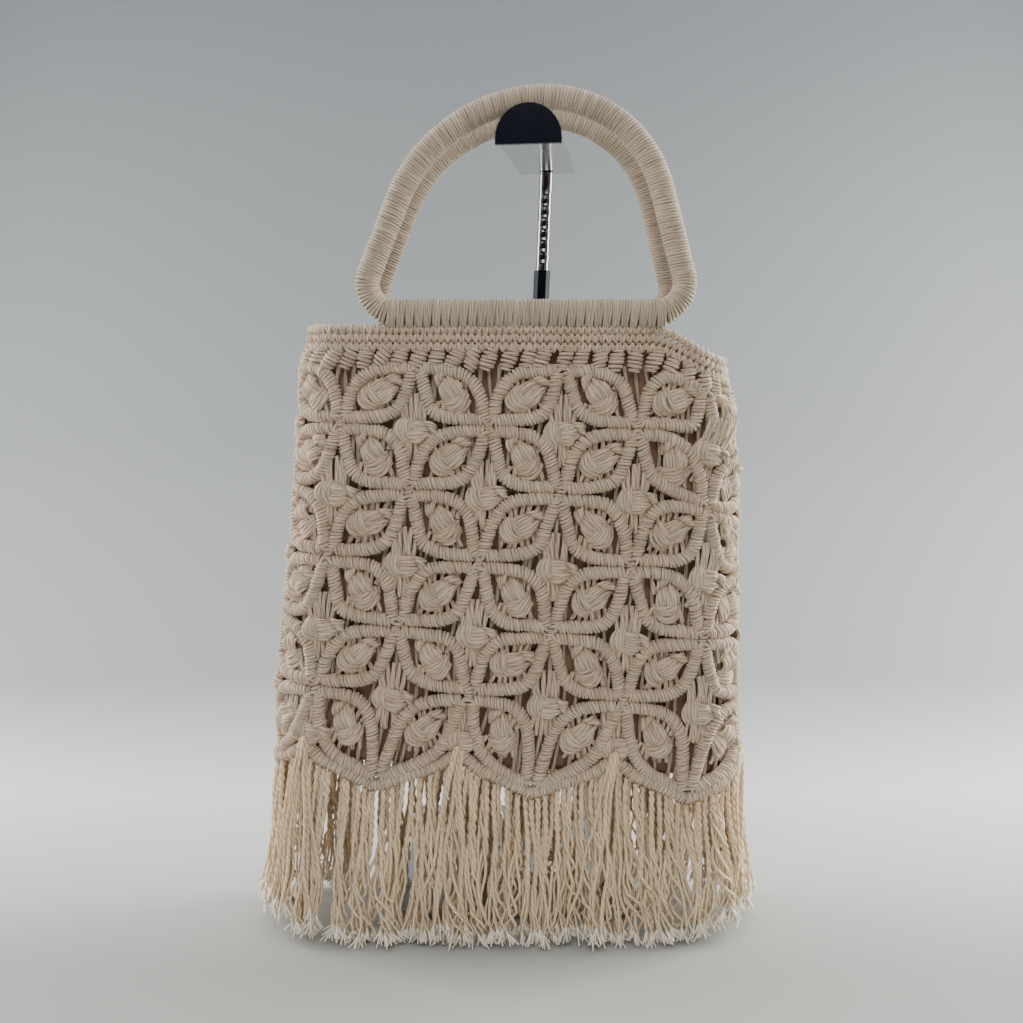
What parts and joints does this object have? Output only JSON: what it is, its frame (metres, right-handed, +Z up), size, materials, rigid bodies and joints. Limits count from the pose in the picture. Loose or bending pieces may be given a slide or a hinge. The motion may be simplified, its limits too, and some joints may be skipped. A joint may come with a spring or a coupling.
{
  "type": "macrame bag on display stand",
  "caption": "Knotted cotton handbag with leaf lattice, stitched rim, wrapped D handles and long fringe, hung by its handles on a plain steel display stand.",
  "frame": {"origin": "centre of the stand base's underside", "axes": "+Z up, the bag's front faces -Y, +X to the viewer's right"},
  "size_m": [0.3001, 0.2027, 0.491],
  "materials": {
    "knotted_cotton": "matte cream cotton cord, knotted",
    "wrapped_cotton": "matte cream cotton cord, tightly wrapped",
    "fringe_cotton": "twisted cream cotton strands with frayed ends",
    "lining_cloth": "plain tan cloth, in shadow",
    "base_steel": "satin grey",
    "rod_chrome": "polished dark chrome with ring notches",
    "arm_chrome": "polished",
    "black_gloss": "gloss black"
  },
  "bodies": {
    "root": {"macrame_body": "knotted_cotton", "top_band": "knotted_cotton", "lining": "lining_cloth", "fringe": "fringe_cotton", "handle_front": "wrapped_cotton", "handle_back": "wrapped_cotton", "stand_base": "base_steel", "stand_post": "black_gloss", "stand_rod": "rod_chrome", "stand_arm": "arm_chrome", "stand_cap": "black_gloss"}
  },
  "joints": []
}
